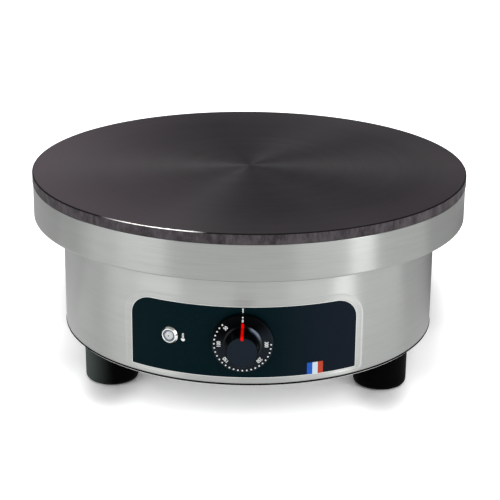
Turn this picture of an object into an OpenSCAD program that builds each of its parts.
// Electric crepe maker: a round cast-iron griddle on a stainless steel collar and drum.
// Millimetres, +Z up. The origin is on the floor under the centre of the griddle.
// The control panel faces -Y. Angles round the drum start at -Y and grow towards +X.

/* [Griddle] */
// Diameter of the cast-iron griddle
griddle_d = 400; // [380:5:430]
// Height of the rim that shows above the collar
rim_h = 9.5; // [7:0.5:14]
// Thickness of the griddle, rim included
griddle_t = 16; // [15:0.5:20]
// Edge break round the cooking face
rim_break = 0.8; // [0.3:0.1:2]

/* [Collar] */
// How far the griddle's rim stands out past the collar
griddle_over = 0.5; // [0:0.5:5]
// Height of the collar
collar_h = 32.8; // [31:0.1:40]
// Width of the lip that the griddle rests on
lip_w = 6; // [4:0.5:8]
// Outside bend radius at the foot of the collar
collar_bend = 1.6; // [1.2:0.1:3]

/* [Drum] */
// Outer diameter of the drum
drum_d = 345; // [340:1:365]
// Height of the drum
drum_h = 103.5; // [98:0.5:130]
// Wall of the collar, the drum and the heat shield
sheet_t = 1; // [0.8:0.1:1.2]
// Width of the flanges folded in at the top and the foot of the drum
flange_w = 16; // [14:0.5:18]
// Outside bend radius at the foot of the drum
drum_bend = 3; // [2:0.5:4]
// Gap from the drum's outline in to the edge of the base plate
base_inset = 1; // [0.5:0.5:2]
// Thickness of the base plate
base_t = 1.2; // [1:0.1:2]

/* [Control panel] */
// Width of the panel, measured straight across
panel_w = 194; // [180:1:200]
// Height of the panel
panel_h = 64.5; // [62:0.5:70]
// Thickness of the panel, and depth of the recess that holds it
panel_t = 1.2; // [0.8:0.1:1.6]
// Radius of the panel's two upper corners
panel_corner = 18; // [8:0.5:24]
// Height of the panel's lower edge above the foot of the drum
panel_lift = 6.9; // [6.5:0.1:8]
// Width of the recess left bare beside and above the panel
recess_margin = 6; // [4:0.5:8]
// Width of the recess left bare below the panel
recess_foot = 2.6; // [1.5:0.1:3]

/* [Knob] */
// Height of the knob's and lamp's centres above the foot of the drum
control_h = 40.4; // [38:0.1:42]
// Diameter of the knob's skirt, which carries the scale
skirt_d = 52.2; // [44:0.2:60]
// Thickness of the skirt from its rear rim to the scale
skirt_h = 5; // [4.5:0.5:7]
// Diameter of the grip where it leaves the skirt
grip_d = 29.6; // [28:0.2:34]
// Diameter of the grip at its front face
grip_face_d = 27.6; // [26:0.2:29]
// Length of the grip in front of the skirt
grip_l = 18.7; // [16:0.1:20]
// Width of the red pointer
pointer_w = 2.4; // [2:0.2:4]
// Distance of the pointer's outer end from the knob's axis
pointer_reach = 19.1; // [18:0.1:21]
// How far the pointer runs in over the grip's front face
pointer_over = 2.4; // [1.5:0.1:4]
// Gap between the panel and the rear rim of the knob
knob_gap = 1.5; // [1:0.1:3]
// Diameter of the thermostat's shaft
shaft_d = 6; // [5:0.5:6]

/* [Lamp] */
// Diameter of the lamp's bezel
lamp_d = 14.5; // [14:0.5:18]
// Distance from the panel's left edge in to the lamp's centre, measured straight across
lamp_in = 34; // [28:0.5:40]
// Height of the bezel in front of the panel
bezel_h = 3; // [2:0.5:5]

/* [Feet] */
// Height of a foot
foot_h = 37; // [30:1:50]
// Diameter of a foot where it meets the base
foot_d = 49; // [42:1:50]
// How much narrower a foot is at its sole
foot_taper = 0.6; // [0:0.1:3]
// Rounding of the sole's edge
foot_round = 5; // [3:0.5:7]
// Distance from the centre of the base to the centre of each foot
foot_pcr = 142; // [130:1:144]

/* [Heating] */
// Diameter of the sheathed heating tube
tube_d = 8; // [6.5:0.5:8.5]
// Centre-line radius of the inner heating ring
ring_inner = 50; // [48:1:52]
// Spacing between one heating ring and the next
ring_pitch = 50; // [48:1:51]
// Width of a bar that clamps the rings to the griddle
bar_w = 20; // [16:1:22]
// Thickness of a clamp bar
bar_t = 3; // [2:0.5:3.5]
// Thickness of the insulation
wool_t = 5; // [3:0.5:6]
// Length of the thermostat's sensing bulb
bulb_l = 90; // [70:2:92]
// Diameter of the sensing bulb
bulb_d = 6; // [4:0.5:6]

/* [Cord entry] */
// Diameter of the cord that the gland takes
cord_d = 11; // [9:0.5:11.5]
// Height of the gland's centre above the foot of the drum
gland_h = 26; // [22:1:60]

/* [Hidden] */
$fn = 96;
eps = 0.5;
fit = 0.1;
turn_fit = 0.05;
swell = 0.05;
wall_reach = 5;

// Radii of the main rounds
griddle_r = griddle_d / 2;
collar_r = griddle_r - griddle_over;
drum_r = drum_d / 2;
throat_r = drum_r - flange_w;

// Heights, counted up from the floor
base_z = foot_h;
drum_z = base_z + base_t;
collar_z = drum_z + drum_h;
rim_z = collar_z + collar_h;
top_z = rim_z + rim_h;
griddle_z = top_z - griddle_t;
control_z = drum_z + control_h;
gland_z = drum_z + gland_h;

// Griddle spigot, with the gap between it and the collar's lip
spigot_gap = 1.2;
spigot_r = collar_r - lip_w - spigot_gap;

// Panel and recess
panel_z = drum_z + panel_lift;
lamp_angle = asin((panel_w / 2 - lamp_in) / drum_r);
recess_r = drum_r - panel_t;
inner_r = recess_r - sheet_t;
recess_corner = 3;
side_slope = 1.4;
low_slope = 1.6;
panel_low_corner = 0.8;

// Screws, studs and nuts: thread, width across flats or head, and height
m4_d = 4;
m4_head = 8;
m4_head_h = 2.4;
m5_d = 5;
m5_head = 9;
m5_head_h = 3.3;
m5_nut = 8;
m5_nut_h = 4;
m6_d = 6;
m6_nut = 10;
m6_nut_h = 5;
m8_d = 8;
m8_nut = 13;
m8_nut_h = 6.5;
thread_out = 2;

// Heating rings, their legs and their clamps
rings = [for (i = [0:2]) ring_inner + i * ring_pitch];
elbow_r = tube_d / 2 + 5;
bend_draw = 0.1;
bend_over = 3;
leg_gap = 22;
leg_angle = 30;
leg_l = 21;
pin_l = 9;
pin_d = 4;
pin_z = griddle_z - elbow_r - leg_l - pin_l;
bar_angles = [90, 210, 330];
bar_in = rings[0] - tube_d - bar_w / 2;
bar_out = rings[2] + tube_d;
clamp_z = griddle_z - tube_d / 2 - bar_t;
stud_depth = 8;
stud_radii = [rings[0] + ring_pitch / 2, rings[1] + ring_pitch / 2];

// Tie studs that pull the griddle down, and the screws between them
tie_pcr = drum_r - flange_w / 2 - 1;
tie_angles = bar_angles;
flange_angles = [for (a = bar_angles) a + 60];
shield_rim_r = tie_pcr + m8_nut / 2 + 2;

// Insulation, heat shield and the bushes that the legs pass through
nut_gap = 0.2;
deck_z = clamp_z - m6_nut_h - nut_gap - wool_t;
deck_r = tie_pcr - m8_d / 2 - 2;
wool_r = deck_r - 3;
bush_d = tube_d + 3.6;
bush_head = bush_d + 5;
bush_head_h = 2.2;
bush_drop = 4;

// Screws of the base
base_r = drum_r - base_inset;
base_pcr = drum_r - flange_w / 2 - 1.5;
base_angles = [for (i = [0:5]) 60 * i];
rivet_d = 6.4;
rivet_h = 7;
rivet_rim = 1;
rivet_rim_h = 1.6;
vent_n = 18;
vent_w = 3.4;
vent_in = 60;
vent_l = 30;

// Feet and their fastenings
foot_bore = 26;
foot_seat = 16;
washer_d = 22;
washer_t = 1.6;
foot_head = 12;
foot_head_h = 4;
foot_angles = [60, 180, 300];

// Knob, in its own frame: Z is the shaft, and 0 is the rear rim of the skirt
knob_y = drum_r + knob_gap;
knob_l = skirt_h + grip_l;
lip_bevel = 1.1;
root_r = 1.5;
face_round = 0.8;
shell_t = 2.2;
hub_r = shaft_d / 2 + 3.8;
shaft_flat = shaft_d / 2 - 1.4;
shaft_cover = 5.5;
spring_t = 0.4;
spring_w = 4;
spring_l = 10;
pointer_proud = 0.35;
pointer_deep = 1.1;

// Thermostat, its bracket and its sensing line
stat_w = 40;
stat_h = 36;
stat_plate_t = 1.5;
stat_body_w = 34;
stat_body_l = 24;
stat_tab_w = 6.3;
stat_tab_l = 8;
stat_screw_gap = 28;
bracket_t = 1.5;
bracket_h = 40;
bracket_tab = 12;
bracket_in = 22;
bracket_y = drum_r - bracket_in;
stat_y = bracket_y - bracket_t;
stat_back = stat_y - stat_plate_t - stat_body_l;
nose_d = shaft_d + 4;
nose_l = 6;
bore_depth = 10;
shaft_hole = shaft_d + 7;
bulb_y = ring_inner + ring_pitch / 2;
bulb_z = griddle_z - bulb_d / 2;
capillary_d = 2;
line_over = 7;
line_x = bulb_l / 2 + line_over;
line_hole = 8;
line_drop = 12;
line_in = 10;
clip_t = 1;
clip_w = 8;
clip_x = 24;
clip_head = 7;
clip_screw = bulb_d / 2 + clip_head / 2 + 1;

// Lamp
bezel_w = 1.9;
bezel_break = 0.6;
lens_r = lamp_d / 2 - bezel_w;
lens_z = 0.8;
lens_t = 1.4;
lens_rib = 0.5;
lamp_shoulder = 0.45;
lamp_body_r = lens_r + lamp_shoulder;
lamp_body_l = 24;
lamp_clip_t = 1;
lamp_clip_w = 3.4;
lamp_tab_l = 7;
lamp_tab_w = 2.8;
lamp_room = 3.8;

// Width of the thermostat's bracket, which ends short of the lamp's clip
bracket_w = panel_w - 2 * (lamp_in + lamp_body_r + lamp_clip_w + lamp_room + bracket_tab);

// Cord gland
gland_hex_over = 15;
gland_hex = cord_d + gland_hex_over;
gland_flange = 6;
gland_thread_r = cord_d / 2 + 4.3;
gland_bore_r = cord_d / 2 + 1.5;
gland_in = 12;
gland_out = 6;
dome_wall = 2.6;
dome_gap = 0.4;
dome_l = 14;
dome_round = 5;
dome_mouth = 0.6;
seal_in = 2;
seal_l = 16;
locknut_h = 4;
curve_gap = 0.7;

// Push-on tabs, leads and the sleeves and sockets at their ends
tab_t = 0.8;
lead_d = 2.4;
sleeve_d = pin_d + 3;
sleeve_end = 3;
socket_wall = 0.7;
socket_end = 3;
bus_drop = 11;
bus_z = pin_z - bus_drop;
lead_run = 22;
pair_gap = 0.4;
pair_aside = (lead_d + pair_gap) / 2;

// Terminal block and earth stud
block_w = 40;
block_d = 20;
block_h = 18;
block_well = 8;
block_well_d = 6;
block_x = -46;
block_y = 88;
block_poles = 3;
block_pitch = block_w / block_poles;
block_hole = 2 * lead_d + pair_gap + 2 * fit;
earth_x = 46;
earth_l = 20;

// ---------- shared shapes ----------

// A flat ring lying between two heights
module band(r_out, r_in, z0, z1) {
    translate([0, 0, z0]) difference() {
        cylinder(r = r_out, h = z1 - z0);
        translate([0, 0, -eps]) cylinder(r = r_in, h = z1 - z0 + 2 * eps);
    }
}

// A solid round whose lower edge is rounded
module round_foot_solid(r, z0, z1, bend) {
    rotate_extrude() union() {
        translate([0, z0]) square([r - bend, z1 - z0]);
        translate([0, z0 + bend]) square([r, z1 - z0 - bend]);
        intersection() {
            translate([r - bend, z0 + bend]) circle(r = bend);
            translate([r - bend - eps, z0]) square([bend + eps, bend]);
        }
    }
}

// Children repeated at angles round the Z axis, moved out along +X
module around(angles, r) {
    for (a = angles) rotate([0, 0, a]) translate([r, 0, 0]) children();
}

// Children whose Z axis points out of the drum, at an angle from -Y
module on_drum(angle, r, z) {
    rotate([0, 0, angle]) translate([0, -r, z]) rotate([90, 0, 0]) children();
}

// A hexagon nut with its hole, standing on z = 0
module hex_nut(flats, h, hole_d) {
    difference() {
        cylinder(d = flats / cos(30), h = h, $fn = 6);
        translate([0, 0, -eps]) cylinder(d = hole_d + 2 * fit, h = h + 2 * eps);
    }
}

// A screw whose head hangs below z = 0 and whose shank stands above it
module cap_screw(head_d, head_h, shank_d, shank_l) {
    translate([0, 0, -head_h]) cylinder(d = head_d, h = head_h);
    translate([0, 0, -head_h]) cylinder(d = shank_d, h = head_h + shank_l);
}

// A round wire that follows a list of points, slightly swollen at its corners
module wire(points, r) {
    for (i = [0:len(points) - 2]) {
        run = points[i + 1] - points[i];
        translate(points[i]) rotate([0, acos(run[2] / norm(run)), atan2(run[1], run[0])]) {
            cylinder(r = r, h = norm(run));
            if (i < len(points) - 2) translate([0, 0, norm(run)]) sphere(r = r + swell);
        }
    }
}

// ---------- griddle ----------

module griddle_plate() {
    color("#4a464a") difference() {
        rotate_extrude() polygon([
            [0, griddle_z], [spigot_r, griddle_z], [spigot_r, rim_z],
            [griddle_r - rim_break / 2, rim_z], [griddle_r, rim_z + rim_break / 2],
            [griddle_r, top_z - rim_break], [griddle_r - rim_break, top_z], [0, top_z]
        ]);
        for (r = rings) rotate_extrude() translate([r, griddle_z]) circle(d = tube_d + 2 * fit);
        for (r = stud_radii) around(bar_angles, r) stud_hole(m6_d, stud_depth);
        around(tie_angles, tie_pcr) stud_hole(m8_d, stud_depth);
        clip_places() stud_hole(m4_d, stud_depth);
    }
}

// A blind hole drilled up into the griddle's underside
module stud_hole(d, depth) {
    translate([0, 0, griddle_z - eps]) cylinder(d = d + 2 * fit, h = depth + eps + fit);
}

// ---------- heating rings and their clamps ----------

// Half the angle left open between the two legs of a ring
function leg_half(r) = (elbow_r + leg_gap / 2) / r * 180 / PI;

// Where a leg stands, seen from above, on one side of the opening
function leg_place(r, side) = let (a = leg_half(r))
    [r * cos(a) + elbow_r * sin(a), side * (r * sin(a) - elbow_r * cos(a)), 0];

module leg_places() {
    for (r = rings, side = [-1, 1])
        rotate([0, 0, leg_angle]) translate(leg_place(r, side)) children();
}

module heating_ring(r) {
    open = leg_half(r);
    color("#6f6a66") rotate([0, 0, leg_angle]) translate([0, 0, griddle_z]) {
        rotate([0, 0, open]) rotate_extrude(angle = 360 - 2 * open)
            translate([r, 0]) circle(d = tube_d);
        for (side = [-1, 1]) {
            rotate([0, 0, side * open]) translate([r, 0, -elbow_r]) mirror([0, side > 0 ? 1 : 0, 0])
                rotate([90, 0, 90]) rotate([0, 0, -bend_over]) rotate_extrude(angle = 90 + 2 * bend_over)
                    translate([elbow_r, 0]) circle(d = tube_d - bend_draw);
            translate(leg_place(r, side)) {
                translate([0, 0, -elbow_r - leg_l]) cylinder(d = tube_d, h = leg_l);
                translate([0, 0, -elbow_r - leg_l - pin_l]) cylinder(d = pin_d, h = pin_l + eps);
            }
        }
    }
}

module heating_ring_inner() { heating_ring(rings[0]); }
module heating_ring_middle() { heating_ring(rings[1]); }
module heating_ring_outer() { heating_ring(rings[2]); }

module clamp_bars() {
    color("#9a9a98") around(bar_angles, 0) difference() {
        translate([bar_in, -bar_w / 2, clamp_z]) cube([bar_out - bar_in, bar_w, bar_t]);
        for (r = stud_radii) translate([r, 0, clamp_z - eps])
            cylinder(d = m6_d + 2 * fit, h = bar_t + 2 * eps);
    }
}

module clamp_studs() {
    low = clamp_z - m6_nut_h;
    color("#b0b0ae") for (r = stud_radii) around(bar_angles, r)
        translate([0, 0, low]) cylinder(d = m6_d, h = griddle_z + stud_depth - low);
}

module clamp_nuts() {
    color("#b0b0ae") for (r = stud_radii) around(bar_angles, r)
        translate([0, 0, clamp_z - m6_nut_h]) hex_nut(m6_nut, m6_nut_h, m6_d);
}

// ---------- heat shield and insulation ----------

module insulation_pad() {
    color("#e8e4da") difference() {
        translate([0, 0, deck_z]) cylinder(r = wool_r, h = wool_t);
        translate([0, 0, deck_z - eps]) {
            leg_places() cylinder(d = bush_d + 2 * fit, h = wool_t + 2 * eps);
            translate([line_x, -bulb_y, 0]) cylinder(d = line_hole, h = wool_t + 2 * eps);
        }
    }
}

module heat_shield() {
    floor_z = collar_z + sheet_t;
    color("#c4c6c6") difference() {
        rotate_extrude() union() {
            translate([deck_r - sheet_t, floor_z]) square([shield_rim_r - deck_r + sheet_t, sheet_t]);
            translate([deck_r - sheet_t, floor_z]) square([sheet_t, deck_z - floor_z]);
            translate([0, deck_z - sheet_t]) square([deck_r, sheet_t]);
        }
        translate([0, 0, floor_z - eps]) {
            around(tie_angles, tie_pcr) cylinder(d = m8_d + 2 * fit, h = sheet_t + 2 * eps);
            around(flange_angles, tie_pcr) cylinder(d = m5_d + 2 * fit, h = sheet_t + 2 * eps);
        }
        translate([0, 0, deck_z - sheet_t - eps]) {
            translate([0, 0, -bush_drop]) leg_places()
                cylinder(d = bush_d + 2 * fit, h = bush_drop + sheet_t + 2 * eps);
            translate([line_x, -bulb_y, 0]) cylinder(d = line_hole, h = sheet_t + 2 * eps);
        }
    }
}

module leg_bushes() {
    low = deck_z - sheet_t - bush_drop;
    high = deck_z + wool_t;
    color("#efe9dc") leg_places() difference() {
        union() {
            translate([0, 0, low]) cylinder(d = bush_d, h = high - low);
            translate([0, 0, high]) cylinder(d = bush_head, h = bush_head_h);
        }
        translate([0, 0, low - eps]) cylinder(d = tube_d + 2 * fit, h = high - low + bush_head_h + 2 * eps);
    }
}

// ---------- collar and drum ----------

module upper_collar() {
    color("#a5a6a5") difference() {
        round_foot_solid(collar_r, collar_z, rim_z, collar_bend);
        round_foot_solid(collar_r - sheet_t, collar_z + sheet_t, rim_z - sheet_t, collar_bend - sheet_t);
        translate([0, 0, collar_z - eps]) cylinder(r = throat_r, h = collar_h);
        translate([0, 0, collar_z + sheet_t]) cylinder(r = collar_r - lip_w, h = collar_h);
        flange_holes(collar_z, sheet_t);
    }
}

// The holes for tie studs and flange screws through a sheet at height z
module flange_holes(z, t) {
    translate([0, 0, z - eps]) {
        around(tie_angles, tie_pcr) cylinder(d = m8_d + 2 * fit, h = t + 2 * eps);
        around(flange_angles, tie_pcr) cylinder(d = m5_d + 2 * fit, h = t + 2 * eps);
    }
}

// A flat outline of the panel's kind, with large upper and small lower corners
module panel_outline(w, z0, z1, r_top, r_low) {
    translate([-w / 2, z0 + r_low]) square([w, z1 - z0 - r_top - r_low]);
    translate([-w / 2 + r_low, z0]) square([w - 2 * r_low, z1 - z0 - r_top]);
    translate([-w / 2 + r_top, z0 + r_low]) square([w - 2 * r_top, z1 - z0 - r_low]);
    for (side = [-1, 1]) {
        translate([side * (w / 2 - r_top), z1 - r_top]) circle(r = r_top);
        translate([side * (w / 2 - r_low), z0 + r_low]) circle(r = r_low);
    }
}

// A panel outline pushed forwards from the centre of the drum through its front wall
module front_block(w, z0, z1, r_top, r_low) {
    rotate([90, 0, 0]) linear_extrude(height = drum_r + eps) panel_outline(w, z0, z1, r_top, r_low);
}

// The room that the pressed recess takes out of the drum: its sides slope, and
// its outline grows by the sheet's thickness for the inner face
module recess_room(grow) {
    low = panel_z - recess_foot - grow;
    high = panel_z + panel_h + recess_margin + grow;
    half_w = panel_w / 2 + recess_margin + grow;
    back = recess_r - grow;
    front_y = sqrt(pow(drum_r, 2) - pow(half_w, 2));
    intersection() {
        front_block(2 * half_w, low, high, panel_corner + recess_margin + grow, recess_corner + grow);
        rotate_extrude() polygon([
            [back, low + low_slope], [drum_r, low], [drum_r + eps, low],
            [drum_r + eps, high], [drum_r, high], [back, high - side_slope]
        ]);
        translate([0, 0, drum_z]) linear_extrude(height = drum_h) polygon([
            [-half_w - eps, -drum_r - eps], [-half_w - eps, -front_y], [-half_w, -front_y],
            [-half_w + 2 * side_slope, -front_y + 2 * panel_t],
            [half_w - 2 * side_slope, -front_y + 2 * panel_t],
            [half_w, -front_y], [half_w + eps, -front_y], [half_w + eps, -drum_r - eps]
        ]);
    }
}

module drum_shell() {
    color("#a9aaa9") difference() {
        round_foot_solid(drum_r, drum_z, collar_z, drum_bend);
        recess_room(0);
        difference() {
            round_foot_solid(drum_r - sheet_t, drum_z + sheet_t, collar_z - sheet_t, drum_bend - sheet_t);
            recess_room(sheet_t);
        }
        translate([0, 0, drum_z - eps]) cylinder(r = throat_r, h = drum_h + 2 * eps);
        flange_holes(collar_z - sheet_t, sheet_t);
        translate([0, 0, drum_z - eps]) around(base_angles, base_pcr)
            cylinder(d = rivet_d + 2 * fit, h = sheet_t + 2 * eps);
        control_holes();
        on_drum(180, drum_r - wall_reach, gland_z) cylinder(r = gland_thread_r + fit, h = 2 * wall_reach);
    }
}

// The holes for the thermostat's shaft and the lamp, through the panel and the drum
module control_holes() {
    on_drum(0, drum_r - wall_reach, control_z) cylinder(d = shaft_hole, h = 2 * wall_reach);
    on_drum(-lamp_angle, drum_r - wall_reach, control_z) cylinder(r = lamp_body_r + fit, h = 2 * wall_reach);
}

module flange_screws() {
    color("#b8b8b6") around(flange_angles, tie_pcr) {
        translate([0, 0, collar_z + 2 * sheet_t]) cylinder(d = m5_head, h = m5_head_h);
        translate([0, 0, collar_z - sheet_t - m5_nut_h - thread_out])
            cylinder(d = m5_d, h = 3 * sheet_t + m5_nut_h + thread_out + m5_head_h / 2);
    }
}

module flange_nuts() {
    color("#b0b0ae") around(flange_angles, tie_pcr)
        translate([0, 0, collar_z - sheet_t - m5_nut_h]) hex_nut(m5_nut, m5_nut_h, m5_d);
}

module tie_studs() {
    low = collar_z - sheet_t - m8_nut_h - thread_out;
    color("#b0b0ae") around(tie_angles, tie_pcr)
        translate([0, 0, low]) cylinder(d = m8_d, h = griddle_z + stud_depth - low);
}

module tie_nuts() {
    color("#b0b0ae") around(tie_angles, tie_pcr)
        translate([0, 0, collar_z - sheet_t - m8_nut_h]) rotate([0, 0, 30]) hex_nut(m8_nut, m8_nut_h, m8_d);
}

// ---------- base and feet ----------

module base_plate() {
    color("#b4b5b4") difference() {
        translate([0, 0, base_z]) cylinder(r = base_r, h = base_t);
        translate([0, 0, base_z - eps]) {
            around(base_angles, base_pcr) cylinder(d = m4_d + 2 * fit, h = base_t + 2 * eps);
            feet_places() cylinder(d = m6_d + 2 * fit, h = base_t + 2 * eps);
            for (i = [0:vent_n - 1]) rotate([0, 0, (i + 0.5) * 360 / vent_n]) vent_slot();
        }
    }
}

// One radial slot through the base
module vent_slot() {
    translate([vent_in, -vent_w / 2, 0]) cube([vent_l, vent_w, base_t + 2 * eps]);
    for (x = [vent_in, vent_in + vent_l]) translate([x, 0, 0]) cylinder(d = vent_w, h = base_t + 2 * eps);
}

module base_screws() {
    color("#c9cac9") around(base_angles, base_pcr)
        translate([0, 0, base_z]) cap_screw(m4_head, m4_head_h, m4_d, base_t + rivet_h);
}

module rivet_nuts() {
    color("#b0b0ae") around(base_angles, base_pcr) translate([0, 0, drum_z]) difference() {
        union() {
            cylinder(d = rivet_d, h = rivet_h);
            translate([0, 0, sheet_t]) cylinder(d = rivet_d + 2 * rivet_rim, h = rivet_rim_h);
        }
        translate([0, 0, -eps]) cylinder(d = m4_d + 2 * fit, h = rivet_h + 2 * eps);
    }
}

// Children at the centre of every foot
module feet_places() {
    for (a = foot_angles) rotate([0, 0, a]) translate([0, -foot_pcr, 0]) children();
}

// A moulded foot: slightly tapered, round at the sole and hollow for its screw
module foot(angle) {
    low_r = foot_d / 2 - foot_taper / 2;
    color("#111214") rotate([0, 0, angle]) translate([0, -foot_pcr, 0]) difference() {
        rotate_extrude() union() {
            polygon([[0, foot_round], [low_r, foot_round], [foot_d / 2, foot_h], [0, foot_h]]);
            square([low_r - foot_round, foot_round + eps]);
            intersection() {
                translate([low_r - foot_round, foot_round]) circle(r = foot_round);
                translate([low_r - foot_round - eps, 0]) square([foot_round + eps, foot_round + eps]);
            }
        }
        translate([0, 0, -eps]) cylinder(d = foot_bore, h = foot_seat + eps);
        cylinder(d = m6_d + 2 * fit, h = foot_h + eps);
    }
}

module foot_right() { foot(foot_angles[0]); }
module foot_rear() { foot(foot_angles[1]); }
module foot_left() { foot(foot_angles[2]); }

module foot_washers() {
    color("#b0b0ae") feet_places()
        band(washer_d / 2, m6_d / 2 + fit, foot_seat - washer_t, foot_seat);
}

module foot_screws() {
    color("#b8b8b6") feet_places() translate([0, 0, foot_seat - washer_t])
        cap_screw(foot_head, foot_head_h, m6_d, drum_z + m6_nut_h + thread_out - foot_seat + washer_t);
}

module foot_nuts() {
    color("#b0b0ae") feet_places() translate([0, 0, drum_z]) hex_nut(m6_nut, m6_nut_h, m6_d);
}

// ---------- control panel and knob ----------

module control_panel() {
    color("#141c22") difference() {
        intersection() {
            front_block(panel_w, panel_z, panel_z + panel_h, panel_corner, panel_low_corner);
            band(drum_r, recess_r, drum_z, collar_z);
        }
        control_holes();
    }
}

// Children in the knob's own frame
module at_knob() {
    on_drum(0, knob_y, control_z) children();
}

// The pointer's side view, in the knob's Y and Z
module pointer_side() {
    grip_r = grip_d / 2;
    face_r = grip_face_d / 2;
    polygon([
        [face_r - pointer_deep, skirt_h - pointer_deep], [pointer_reach, skirt_h - pointer_deep],
        [pointer_reach, skirt_h + pointer_proud], [grip_r + root_r, skirt_h + pointer_proud],
        [grip_r + pointer_proud, skirt_h + root_r + pointer_proud],
        [face_r + pointer_proud, knob_l - face_round],
        [face_r - face_round, knob_l + pointer_proud],
        [face_r - pointer_over, knob_l + pointer_proud],
        [face_r - pointer_over, knob_l - pointer_deep],
        [face_r - pointer_deep, knob_l - pointer_deep]
    ]);
}

module pointer_bar() {
    translate([-pointer_w / 2, 0, 0]) rotate([90, 0, 90]) linear_extrude(height = pointer_w) pointer_side();
}

module knob_round() {
    skirt_r = skirt_d / 2;
    grip_r = grip_d / 2;
    face_r = grip_face_d / 2;
    rotate_extrude() union() {
        polygon([
            [0, 0], [skirt_r, 0], [skirt_r, skirt_h - lip_bevel],
            [skirt_r - lip_bevel, skirt_h], [0, skirt_h]
        ]);
        difference() {
            translate([grip_r - root_r, skirt_h - eps]) square([2 * root_r, root_r + eps]);
            translate([grip_r + root_r, skirt_h + root_r]) circle(r = root_r);
        }
        polygon([
            [0, skirt_h - eps], [grip_r, skirt_h - eps], [grip_r, skirt_h],
            [face_r, knob_l - face_round], [0, knob_l - face_round]
        ]);
        translate([0, knob_l - face_round - eps]) square([face_r - face_round, face_round + eps]);
        translate([face_r - face_round, knob_l - face_round]) circle(r = face_round);
    }
}

module control_knob() {
    wall_r = grip_face_d / 2 - shell_t;
    tip = knob_l - shaft_cover + turn_fit;
    flat_y = -shaft_flat - spring_t - 2 * turn_fit;
    color("#1e252d") at_knob() difference() {
        knob_round();
        pointer_bar();
        difference() {
            union() {
                translate([0, 0, -eps]) cylinder(r = skirt_d / 2 - shell_t, h = skirt_h - shell_t + eps);
                cylinder(r = wall_r, h = knob_l - shell_t);
            }
            cylinder(r = hub_r, h = knob_l);
        }
        translate([0, 0, -eps]) intersection() {
            cylinder(d = shaft_d + 2 * turn_fit, h = tip + eps);
            translate([-shaft_d, flat_y, 0]) cube([2 * shaft_d, 2 * shaft_d, knob_l]);
        }
    }
}

module knob_pointer() {
    color("#d0140f") at_knob() pointer_bar();
}

module knob_spring() {
    color("#b0b0ae") at_knob()
        translate([-spring_w / 2, -shaft_flat - spring_t - turn_fit, skirt_h])
            cube([spring_w, spring_t, spring_l]);
}

module thermostat_shaft() {
    inner_end = stat_y - bore_depth + turn_fit - knob_y;
    outer_end = knob_l - shaft_cover;
    color("#c8c4b8") at_knob() difference() {
        translate([0, 0, inner_end]) cylinder(d = shaft_d, h = outer_end - inner_end);
        translate([-shaft_d, -shaft_d - shaft_flat, 0]) cube([2 * shaft_d, shaft_d, knob_l]);
    }
}

// ---------- thermostat ----------

// Children in the thermostat's frame: Z is the shaft, and 0 is its front plate
module at_thermostat() {
    on_drum(0, stat_y, control_z) children();
}

module thermostat_body() {
    rear = -stat_plate_t - stat_body_l;
    color("#d9d4c6") at_thermostat() difference() {
        union() {
            translate([-stat_w / 2, -stat_h / 2, -stat_plate_t]) cube([stat_w, stat_h, stat_plate_t]);
            translate([-stat_body_w / 2, -stat_h / 2, rear]) cube([stat_body_w, stat_h, stat_body_l]);
            cylinder(d = nose_d, h = nose_l);
            for (side = [-1, 1])
                translate([side * stat_body_w / 4 - stat_tab_w / 2, 0, rear - stat_tab_l])
                    cube([stat_tab_w, tab_t, stat_tab_l + eps]);
        }
        translate([0, 0, -bore_depth]) cylinder(d = shaft_d + 2 * turn_fit, h = bore_depth + nose_l + eps);
        for (x = [-1, 1]) translate([x * stat_screw_gap / 2, 0, -stat_plate_t - m5_nut_h - fit])
            cylinder(d = m4_d + 2 * fit, h = stat_plate_t + m5_nut_h + 2 * eps);
    }
}

module thermostat_bracket() {
    color("#b4b5b4") difference() {
        intersection() {
            translate([0, 0, control_z - bracket_h / 2]) cylinder(r = inner_r, h = bracket_h);
            union() {
                translate([-bracket_w / 2, -bracket_y, 0]) cube([bracket_w, bracket_t, collar_z]);
                for (side = [-1, 1]) {
                    translate([side * (bracket_w - bracket_t) / 2 - bracket_t / 2, -drum_r, 0])
                        cube([bracket_t, drum_r - bracket_y + bracket_t, collar_z]);
                    intersection() {
                        band(inner_r, inner_r - bracket_t, 0, collar_z);
                        translate([side * (bracket_w + bracket_tab) / 2 - bracket_tab / 2 - eps, -drum_r, 0])
                            cube([bracket_tab + 2 * eps, drum_r, collar_z]);
                    }
                }
            }
        }
        at_thermostat() translate([0, 0, -eps]) {
            cylinder(d = nose_d + 2 * fit, h = bracket_t + 2 * eps);
            for (x = [-1, 1]) translate([x * stat_screw_gap / 2, 0, 0])
                cylinder(d = m4_d + 2 * fit, h = bracket_t + 2 * eps);
        }
    }
}

module thermostat_screws() {
    color("#c9cac9") at_thermostat() for (x = [-1, 1])
        translate([x * stat_screw_gap / 2, 0, bracket_t]) mirror([0, 0, 1])
            cap_screw(m4_head, m4_head_h, m4_d, bracket_t + stat_plate_t + m5_nut_h);
}

// The sensing bulb lies along X under the griddle, between two heating rings
module at_bulb() {
    translate([0, -bulb_y, bulb_z]) rotate([0, 90, 0]) children();
}

module thermostat_bulb() {
    color("#b87a55") at_bulb() translate([0, 0, -bulb_l / 2]) cylinder(d = bulb_d, h = bulb_l);
}

module capillary_tube() {
    stat_top = control_z + stat_h / 2;
    color("#b87a55") wire([
        [bulb_l / 2, -bulb_y, bulb_z],
        [line_x, -bulb_y, bulb_z],
        [line_x, -bulb_y, deck_z - line_drop],
        [line_x - line_in, -bulb_y - 2 * line_in, stat_top + 2 * line_drop],
        [line_in, -stat_back - line_in, stat_top + line_drop],
        [line_in, -stat_back - line_in, stat_top]
    ], capillary_d / 2);
}

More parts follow.
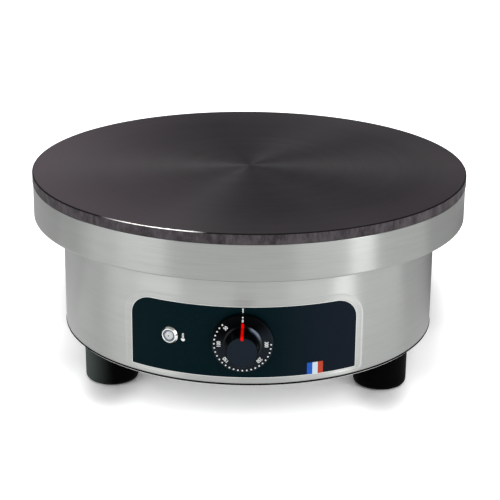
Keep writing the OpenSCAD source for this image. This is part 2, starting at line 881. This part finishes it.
// Children at each screw of the bulb's clips
module clip_places() {
    for (x = [-clip_x, clip_x], side = [-1, 1]) translate([x, -bulb_y + side * clip_screw, 0]) children();
}

module bulb_clips() {
    hug_r = bulb_d / 2 + fit;
    ear = clip_screw + clip_head / 2;
    color("#b4b5b4") for (x = [-clip_x, clip_x]) translate([x - clip_w / 2, -bulb_y, 0]) difference() {
        union() {
            intersection() {
                translate([0, 0, bulb_z]) rotate([0, 90, 0]) cylinder(r = hug_r + clip_t, h = clip_w);
                translate([-eps, -ear, griddle_z - 2 * bulb_d]) cube([clip_w + 2 * eps, 2 * ear, 2 * bulb_d]);
            }
            translate([0, -ear, griddle_z - clip_t]) cube([clip_w, 2 * ear, clip_t]);
        }
        translate([-eps, 0, bulb_z]) rotate([0, 90, 0]) cylinder(r = hug_r, h = clip_w + 2 * eps);
        translate([-eps, -hug_r, bulb_z]) cube([clip_w + 2 * eps, 2 * hug_r, bulb_d]);
        for (side = [-1, 1]) translate([clip_w / 2, side * clip_screw, griddle_z - clip_t - eps])
            cylinder(d = m4_d + 2 * fit, h = clip_t + 2 * eps);
    }
}

module clip_screws() {
    color("#c9cac9") clip_places() translate([0, 0, griddle_z - clip_t])
        cap_screw(clip_head, m4_head_h, m4_d, clip_t + stud_depth - fit);
}

// ---------- lamp ----------

// Children in the lamp's frame: Z points out of the panel, and 0 is its surface
module at_lamp() {
    on_drum(-lamp_angle, drum_r, control_z) children();
}

module lamp_bezel() {
    lamp_r = lamp_d / 2;
    color("#d8d8d4") at_lamp() rotate_extrude() polygon([
        [lens_r + turn_fit, 0], [lamp_r, 0], [lamp_r, bezel_h / 3],
        [lamp_r - bezel_h / 4, bezel_h], [lens_r + bezel_break, bezel_h],
        [lens_r + turn_fit, bezel_h - bezel_break]
    ]);
}

module lamp_lens() {
    groove_r = lens_r - 2;
    color("#dfe6ea") at_lamp() translate([0, 0, lens_z]) rotate_extrude() polygon([
        [0, 0], [lens_r, 0], [lens_r, lens_t - lens_rib], [groove_r + lens_rib, lens_t],
        [groove_r, lens_t - lens_rib], [groove_r - lens_rib, lens_t],
        [2 * lens_rib, lens_t], [lens_rib, lens_t - lens_rib], [0, lens_t - lens_rib]
    ]);
}

module lamp_body() {
    color("#e4e4e0") at_lamp() {
        translate([0, 0, -lamp_body_l]) cylinder(r = lamp_body_r, h = lamp_body_l);
        cylinder(r = lens_r - fit, h = lens_z);
        for (side = [-1, 1])
            translate([side * lamp_body_r / 2 - lamp_tab_w / 2, -tab_t / 2, -lamp_body_l - lamp_tab_l])
                cube([lamp_tab_w, tab_t, lamp_tab_l + eps]);
    }
}

module lamp_clip() {
    wall = panel_t + sheet_t + 2 * fit;
    color("#b0b0ae") at_lamp()
        band(lamp_body_r + lamp_clip_w, lamp_body_r + fit, -wall - lamp_clip_t - fit, -wall - fit);
}

// ---------- cord gland at the back ----------

// Children in the gland's frame: Z points out of the back of the drum
module at_gland() {
    on_drum(180, drum_r, gland_z) children();
}

module gland_body() {
    barrel_l = gland_in + gland_flange + gland_out;
    color("#1b1c1e") at_gland() difference() {
        union() {
            cylinder(d = gland_hex / cos(30), h = gland_flange, $fn = 6);
            translate([0, 0, -gland_in]) cylinder(r = gland_thread_r, h = barrel_l);
        }
        translate([0, 0, -gland_in - eps]) cylinder(r = gland_bore_r, h = barrel_l + 2 * eps);
    }
}

module gland_locknut() {
    color("#26272a") at_gland() translate([0, 0, -sheet_t - curve_gap - locknut_h])
        hex_nut(gland_hex, locknut_h, 2 * gland_thread_r);
}

// The clamping cap: it holds the seal and closes to the cord's hole
module gland_dome() {
    foot = gland_flange + dome_gap;
    out_r = gland_thread_r + dome_wall;
    color("#1b1c1e") at_gland() difference() {
        rotate_extrude() union() {
            translate([0, foot]) square([out_r, dome_l - dome_round]);
            translate([0, foot]) square([out_r - dome_round, dome_l]);
            intersection() {
                translate([out_r - dome_round, foot + dome_l - dome_round]) circle(r = dome_round);
                translate([out_r - dome_round - eps, foot]) square([dome_round + eps, dome_l]);
            }
        }
        translate([0, 0, foot - eps]) cylinder(r = gland_thread_r + fit, h = gland_out + eps);
        cylinder(r = gland_bore_r + fit, h = seal_in + seal_l + fit);
        cylinder(r = cord_d / 2 + dome_mouth, h = foot + dome_l + eps);
    }
}

module gland_seal() {
    color("#2c2d30") at_gland() band(gland_bore_r - fit, cord_d / 2, seal_in, seal_in + seal_l);
}

// ---------- wiring ----------

// Where a heating leg stands in the part's own X and Y, at height z
function leg_point(r, side, z) = let (p = leg_place(r, side)) [
    p[0] * cos(leg_angle) - p[1] * sin(leg_angle),
    p[0] * sin(leg_angle) + p[1] * cos(leg_angle), z
];

// A point inside the front wall, at an angle from -Y and set sideways
function front_point(angle, r, aside, z) =
    [r * sin(angle) + aside * cos(angle), -r * cos(angle) + aside * sin(angle), z];

// The last points of a lead that enters a pole of the terminal block, beside another
function into_pole(i, side) = let (x = block_x + pole_x(i) + side * pair_aside, z = drum_z + block_h / 3) [
    [x, block_y - block_d / 2 - lead_run / 3, z],
    [x, block_y - block_d / 2 + block_d / 5, z]
];

// The first points of a lead that leaves one of the thermostat's tabs
function from_tab(side) = let (x = side * stat_body_w / 4, y = -stat_back + stat_tab_l + socket_end) [
    [x, y - eps, control_z + tab_t / 2],
    [x, y + lead_run / 2, control_z + tab_t / 2]
];

// The first points of a lead that leaves one of the lamp's tabs
function from_lamp(side) = let (r = drum_r - lamp_body_l - lamp_tab_l - socket_end) [
    front_point(-lamp_angle, r + eps, side * lamp_body_r / 2, control_z),
    front_point(-lamp_angle, r - lead_run / 2, side * lamp_body_r / 2, control_z)
];

// A socket pushed over a tab that ends at z = 0 and comes from +Z, centred on the tab
module tab_socket(w, l) {
    translate([-w / 2 - socket_wall - fit, -tab_t / 2 - socket_wall - fit, -socket_end])
        difference() {
            cube([w + 2 * (socket_wall + fit), tab_t + 2 * (socket_wall + fit), l + socket_end]);
            translate([socket_wall, socket_wall, socket_end - fit])
                cube([w + 2 * fit, tab_t + 2 * fit, l + 2 * fit]);
        }
}

// Leads from the heating rings' legs: one set to the thermostat, one to the terminal block
module heater_leads() {
    color("#e6e2d6") for (side = [-1, 1]) {
        start = leg_point(rings[2], side, pin_z - sleeve_end + eps);
        bus = [for (i = [2, 1, 0]) leg_point(rings[i], side, bus_z)];
        goal = side < 0 ? [for (i = [1, 0]) from_tab(1)[i]] : into_pole(1, 1);
        wire(concat([start], bus, goal), lead_d / 2);
        for (r = [rings[0], rings[1]]) translate(leg_point(r, side, bus_z))
            cylinder(d = lead_d, h = pin_z - sleeve_end - bus_z + eps);
        for (r = rings) translate(leg_point(r, side, pin_z - sleeve_end)) difference() {
            cylinder(d = sleeve_d, h = pin_l + sleeve_end - 1);
            translate([0, 0, sleeve_end - fit]) cylinder(d = pin_d + 2 * fit, h = pin_l);
        }
    }
    color("#e6e2d6") stat_socket(1);
}

// The socket on one of the thermostat's tabs
module stat_socket(side) {
    at_thermostat() translate([side * stat_body_w / 4, tab_t / 2, -stat_plate_t - stat_body_l - stat_tab_l])
        tab_socket(stat_tab_w, stat_tab_l - 1);
}

module supply_lead() {
    color("#3a3d42") {
        wire(concat([for (i = [0, 1]) from_tab(-1)[i]], into_pole(2, 1)), lead_d / 2);
        stat_socket(-1);
    }
}

module lamp_leads() {
    color("#3a3d42") for (side = [-1, 1]) {
        wire(concat([for (i = [0, 1]) from_lamp(side)[i]], into_pole(side < 0 ? 1 : 2, -1)), lead_d / 2);
        at_lamp() translate([side * lamp_body_r / 2, 0, -lamp_body_l - lamp_tab_l])
            tab_socket(lamp_tab_w, lamp_tab_l - 1);
    }
}

module terminal_block() {
    color("#e9e6da") translate([block_x, block_y, drum_z]) difference() {
        translate([-block_w / 2, -block_d / 2, 0]) cube([block_w, block_d, block_h]);
        block_wells() translate([0, 0, block_h - block_well])
            cylinder(d = block_well_d, h = block_well + eps);
        for (i = [0:block_poles - 1]) translate([pole_x(i), -block_d, block_h / 3]) rotate([-90, 0, 0])
            cylinder(d = block_hole, h = 2 * block_d);
    }
}

// Where a pole of the terminal block lies along its width
function pole_x(i) = (i - (block_poles - 1) / 2) * block_pitch;

// Children over each screw of the terminal block
module block_wells() {
    for (i = [0:block_poles - 1], side = [-1, 1])
        translate([pole_x(i), side * block_d / 4, 0]) children();
}

module terminal_screws() {
    color("#c8b070") translate([block_x, block_y, drum_z]) block_wells()
        translate([0, 0, block_h - block_well]) cylinder(d = m5_d, h = block_well - thread_out);
}

module earth_stud() {
    color("#c8b070") translate([earth_x, block_y, drum_z]) cylinder(d = m5_d, h = earth_l);
}

module earth_nuts() {
    color("#b0b0ae") for (i = [0, 1])
        translate([earth_x, block_y, drum_z + i * (m5_nut_h + thread_out)]) hex_nut(m5_nut, m5_nut_h, m5_d);
}

griddle_plate();
heating_ring_inner();
heating_ring_middle();
heating_ring_outer();
clamp_bars();
clamp_studs();
clamp_nuts();
tie_studs();
tie_nuts();
insulation_pad();
heat_shield();
leg_bushes();
upper_collar();
drum_shell();
flange_screws();
flange_nuts();
base_plate();
base_screws();
rivet_nuts();
foot_right();
foot_rear();
foot_left();
foot_washers();
foot_screws();
foot_nuts();
control_panel();
control_knob();
knob_pointer();
knob_spring();
thermostat_shaft();
thermostat_body();
thermostat_bracket();
thermostat_screws();
thermostat_bulb();
capillary_tube();
bulb_clips();
clip_screws();
lamp_bezel();
lamp_lens();
lamp_body();
lamp_clip();
gland_body();
gland_locknut();
gland_dome();
gland_seal();
terminal_block();
terminal_screws();
earth_stud();
earth_nuts();
heater_leads();
supply_lead();
lamp_leads();
